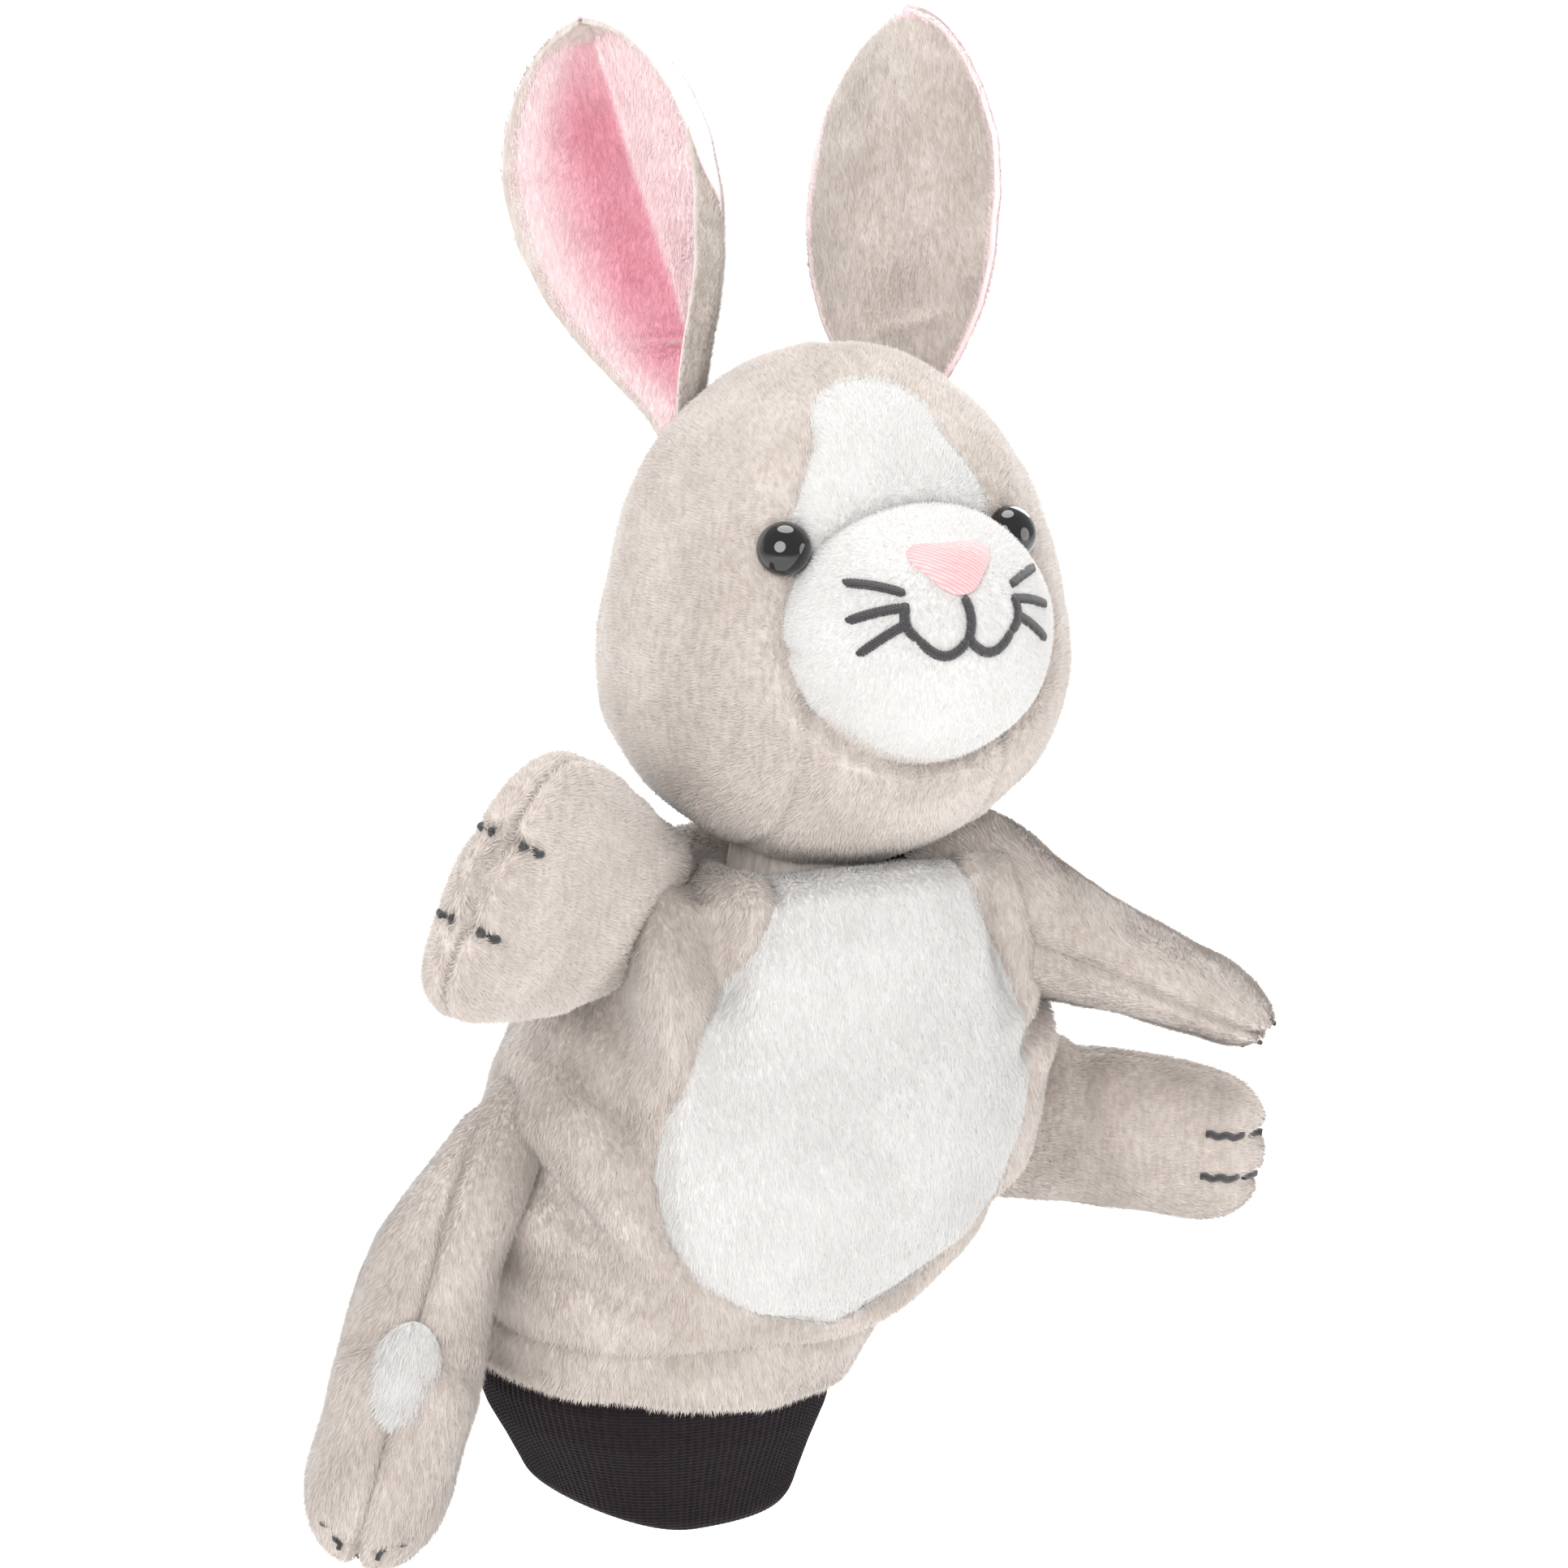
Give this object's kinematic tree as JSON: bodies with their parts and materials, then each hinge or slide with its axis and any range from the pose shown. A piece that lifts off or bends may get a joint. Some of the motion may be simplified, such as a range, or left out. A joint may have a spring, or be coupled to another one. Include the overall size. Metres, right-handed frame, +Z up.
{
  "type": "rabbit hand puppet",
  "caption": "Plush rabbit glove puppet with a knitted wrist opening, finger-worked head and arms, upright ears, dangling legs and a white belly panel.",
  "frame": {"origin": "centre of the wrist opening, in the plane of the cuff's hem", "axes": "+Z up out of the cuff towards the head, -Y the way the face looks, +X the puppet's own left"},
  "size_m": [0.2152, 0.1147, 0.29],
  "materials": {
    "grey_plush": "short warm grey pile",
    "white_plush": "short white pile",
    "pink_plush": "short pink pile",
    "rib_knit": "dark ribbed knit",
    "inner_cloth": "plain woven cloth",
    "filling": "loose fibre filling",
    "pink_thread": "satin stitch",
    "dark_thread": "embroidery thread",
    "eye_plastic": "polished black",
    "washer_plastic": "moulded"
  },
  "bodies": {
    "cuff": {"wrist_cuff": "rib_knit"},
    "torso": {"lower_band": "grey_plush", "body_back_panel": "grey_plush", "body_front_left_panel": "grey_plush", "body_front_right_panel": "grey_plush", "belly_panel": "white_plush"},
    "neck": {"neck_sleeve": "grey_plush"},
    "head": {"head_finger_tube": "inner_cloth", "head_filling": "filling", "muzzle_filling": "filling", "face_left_panel": "grey_plush", "face_right_panel": "grey_plush", "head_back_left_panel": "grey_plush", "head_back_right_panel": "grey_plush", "forehead_blaze": "white_plush", "muzzle_cover": "white_plush", "nose_embroidery": "pink_thread", "mouth_embroidery": "dark_thread", "whiskers_left": "dark_thread", "whiskers_right": "dark_thread", "eye_left": "eye_plastic", "eye_right": "eye_plastic", "eye_washer_left": "washer_plastic", "eye_washer_right": "washer_plastic"},
    "ear_left": {"ear_left_back": "grey_plush", "ear_left_lining": "pink_plush"},
    "shoulder_left": {"arm_left_sleeve": "grey_plush"},
    "arm_left": {"arm_left_upper_panel": "grey_plush", "arm_left_lower_panel": "grey_plush", "arm_left_toe_stitches": "dark_thread"},
    "leg_left": {"leg_left_upper_panel": "grey_plush", "leg_left_lower_panel": "grey_plush", "leg_left_filling": "filling", "leg_left_toe_stitches": "dark_thread", "leg_left_sole_patch": "white_plush"},
    "ear_right": {"ear_right_back": "grey_plush", "ear_right_lining": "pink_plush"},
    "shoulder_right": {"arm_right_sleeve": "grey_plush"},
    "arm_right": {"arm_right_upper_panel": "grey_plush", "arm_right_lower_panel": "grey_plush", "arm_right_toe_stitches": "dark_thread"},
    "leg_right": {"leg_right_upper_panel": "grey_plush", "leg_right_lower_panel": "grey_plush", "leg_right_filling": "filling", "leg_right_toe_stitches": "dark_thread", "leg_right_sole_patch": "white_plush"}
  },
  "joints": [
    {"name": "wrist_bow", "type": "hinge", "parent": "cuff", "child": "torso", "pos_m": [0, 0, 0.027], "axis": [1, 0, 0], "range_deg": [-16, 18], "stiffness_Nm_per_rad": 3},
    {"name": "head_turn", "type": "hinge", "parent": "torso", "child": "neck", "pos_m": [0.028, -0.0105, 0.136], "axis": [0, 0, 1], "range_deg": [-35, 35], "stiffness_Nm_per_rad": 0.4},
    {"name": "head_nod", "type": "hinge", "parent": "neck", "child": "head", "pos_m": [0.028, -0.0105, 0.136], "axis": [1, 0, 0], "range_deg": [-14, 16], "stiffness_Nm_per_rad": 0.6},
    {"name": "ear_left_flop", "type": "hinge", "parent": "head", "child": "ear_left", "pos_m": [0.05557, 0.01044, 0.2163], "axis": [-0.3548, 0.9165, -0.1848], "range_deg": [-20, 35], "stiffness_Nm_per_rad": 0.05},
    {"name": "arm_left_raise", "type": "hinge", "parent": "torso", "child": "shoulder_left", "pos_m": [0.0625, -0.013, 0.118], "axis": [-0.1336, -0.991, 0], "range_deg": [-10, 45], "stiffness_Nm_per_rad": 0.08},
    {"name": "arm_left_clap", "type": "hinge", "parent": "shoulder_left", "child": "arm_left", "pos_m": [0.0625, -0.013, 0.118], "axis": [0, 0, -1], "range_deg": [-20, 45], "stiffness_Nm_per_rad": 0.08},
    {"name": "leg_left_swing", "type": "hinge", "parent": "torso", "child": "leg_left", "pos_m": [0.0655, 0.0255, 0.067], "axis": [-0.4717, -0.8818, 0], "range_deg": [-45, 12], "stiffness_Nm_per_rad": 0.15},
    {"name": "ear_right_flop", "type": "hinge", "parent": "head", "child": "ear_right", "pos_m": [0.00843, 0.01044, 0.2163], "axis": [0.5773, -0.7697, 0.2726], "range_deg": [-20, 35], "stiffness_Nm_per_rad": 0.05},
    {"name": "arm_right_raise", "type": "hinge", "parent": "torso", "child": "shoulder_right", "pos_m": [-0.015, -0.015, 0.119], "axis": [-0.7646, 0.6445, 0], "range_deg": [-30, 18], "stiffness_Nm_per_rad": 0.08},
    {"name": "arm_right_clap", "type": "hinge", "parent": "shoulder_right", "child": "arm_right", "pos_m": [-0.015, -0.015, 0.119], "axis": [0, 0, 1], "range_deg": [-25, 25], "stiffness_Nm_per_rad": 0.08},
    {"name": "leg_right_swing", "type": "hinge", "parent": "torso", "child": "leg_right", "pos_m": [-0.0455, -0.015, 0.076], "axis": [-0.5214, 0.8533, 0], "range_deg": [-5, 60], "stiffness_Nm_per_rad": 0.15}
  ]
}
